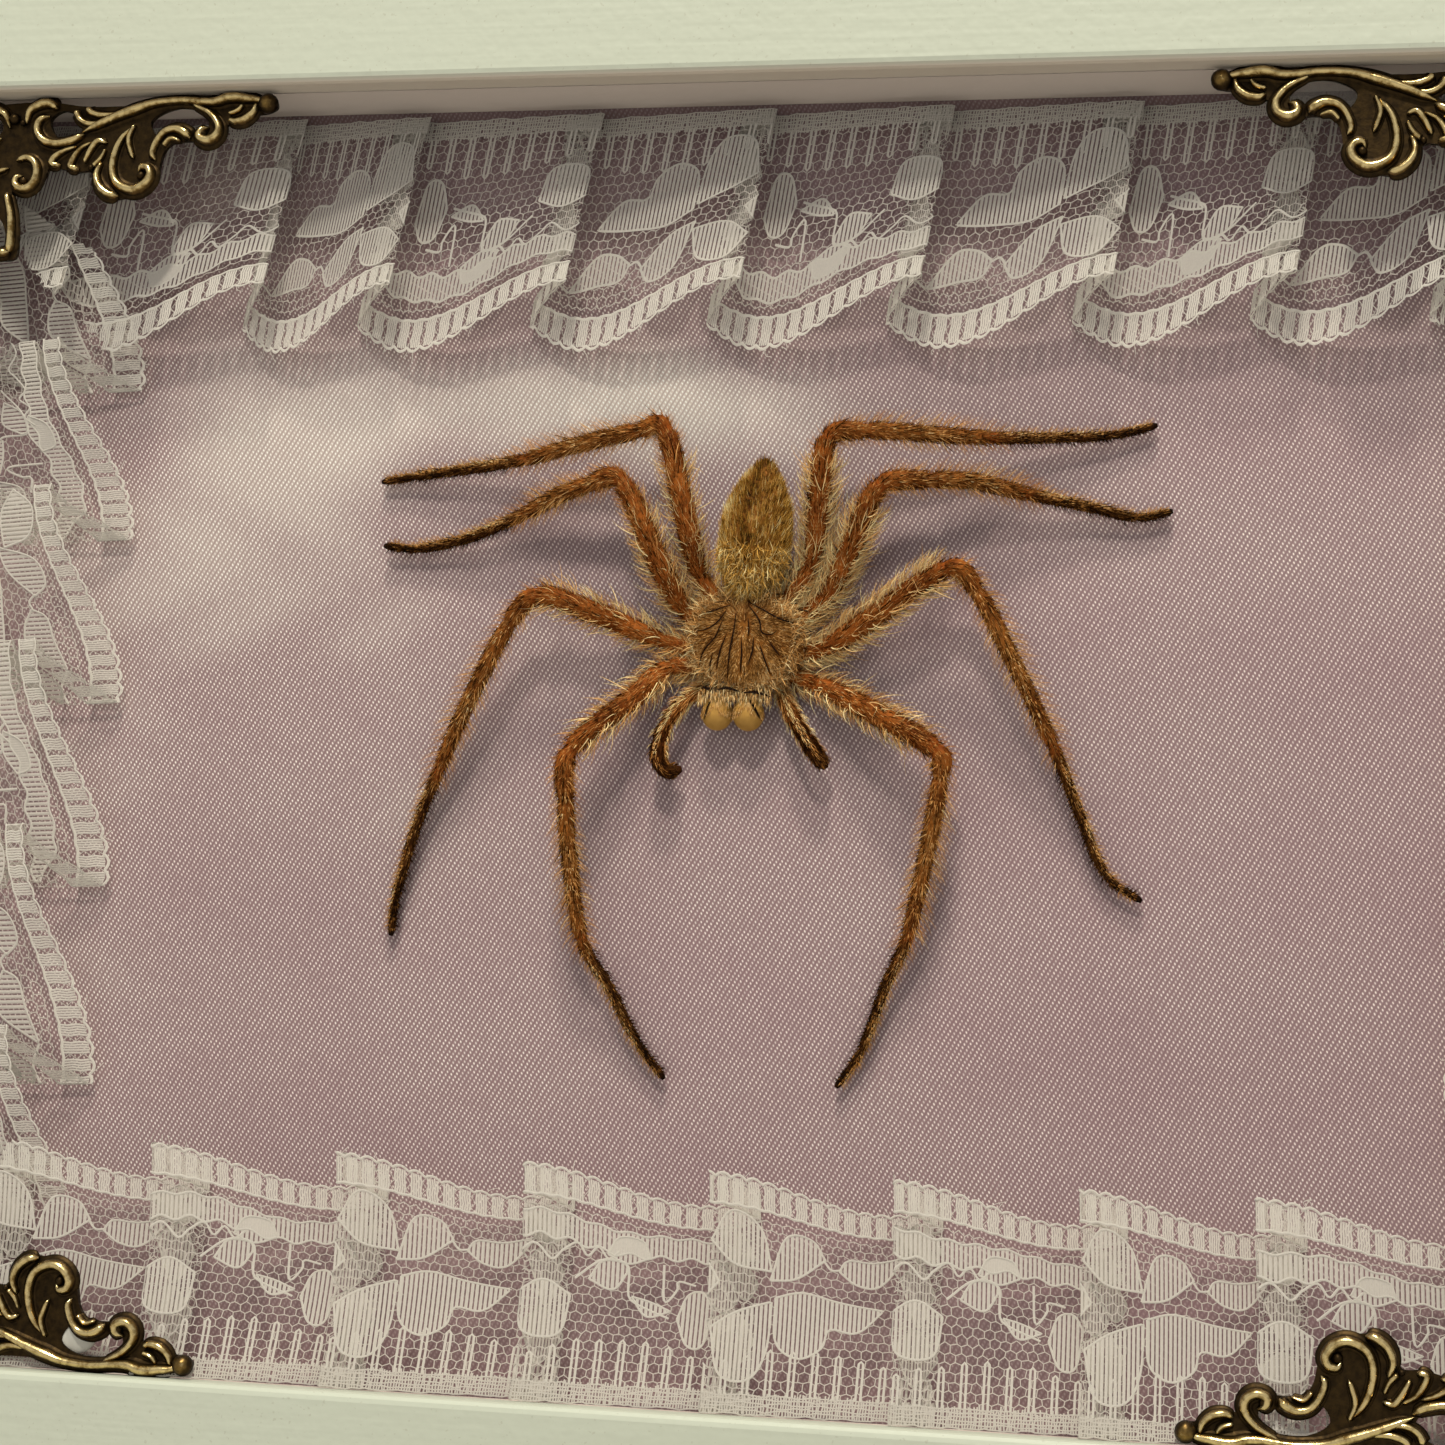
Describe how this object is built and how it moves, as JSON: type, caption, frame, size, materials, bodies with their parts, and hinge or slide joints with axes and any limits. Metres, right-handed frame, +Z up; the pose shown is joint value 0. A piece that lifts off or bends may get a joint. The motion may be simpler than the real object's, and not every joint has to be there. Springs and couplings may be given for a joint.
{
  "type": "framed huntsman spider",
  "caption": "Shadow box frame with a dried huntsman spider mounted head down on mauve satin, a pleated lace ruffle inside and bronze filigree corners.",
  "frame": {"origin": "middle of the underside of the frame, half way through its depth", "axes": "+Z up, +X to the right seen from the front, the glass faces -Y"},
  "size_m": [0.202, 0.028, 0.1515],
  "materials": {
    "white_paint": "wood painted warm white, satin, with softened edges",
    "spacer_card": "painted strip, matt, the inner wall behind the glass",
    "clear_glass": "clear float glass",
    "mauve_satin": "dusty mauve satin weave with a bright sheen",
    "backing_card": "grey-white board, matt",
    "hardboard": "brown hardboard, matt, fibrous",
    "zinc_steel": "zinc plated sheet, slightly dull",
    "antique_bronze": "cast, antique bronze, dark in the recesses and rubbed gold on the ridges",
    "white_lace": "off-white nylon lace, slightly glossy threads",
    "carapace": "grey-brown, finely haired, with dark radiating lines",
    "abdomen": "olive-gold, finely haired, dark mottling",
    "legs": "orange-brown, long pale-gold hairs, dark feet",
    "palps": "brown with dark streaks and dark tips",
    "chelicerae": "golden, swollen, with dark stripes"
  },
  "bodies": {
    "root": {"abdomen": "abdomen", "back_panel": "hardboard", "backing_board": "backing_card", "bottom_rail": "white_paint", "bottom_spacer": "spacer_card", "cephalothorax": "carapace", "chelicera_left": "chelicerae", "chelicera_right": "chelicerae", "filigree_corner_bottom_left": "antique_bronze", "filigree_corner_bottom_right": "antique_bronze", "filigree_corner_top_left": "antique_bronze", "filigree_corner_top_right": "antique_bronze", "glass_pane": "clear_glass", "glazier_point_bottom_1": "zinc_steel", "glazier_point_bottom_2": "zinc_steel", "glazier_point_left_1": "zinc_steel", "glazier_point_right_1": "zinc_steel", "glazier_point_top_1": "zinc_steel", "glazier_point_top_2": "zinc_steel", "hanger_nail_left": "zinc_steel", "hanger_nail_right": "zinc_steel", "lace_bottom": "white_lace", "lace_left": "white_lace", "lace_right": "white_lace", "lace_top": "white_lace", "left_rail": "white_paint", "left_spacer": "spacer_card", "leg_left_1": "legs", "leg_left_2": "legs", "leg_left_3": "legs", "leg_left_4": "legs", "leg_right_1": "legs", "leg_right_2": "legs", "leg_right_3": "legs", "leg_right_4": "legs", "palp_left": "palps", "palp_right": "palps", "right_rail": "white_paint", "right_spacer": "spacer_card", "satin_lining": "mauve_satin", "sawtooth_hanger": "zinc_steel", "top_rail": "white_paint", "top_spacer": "spacer_card"}
  },
  "joints": []
}
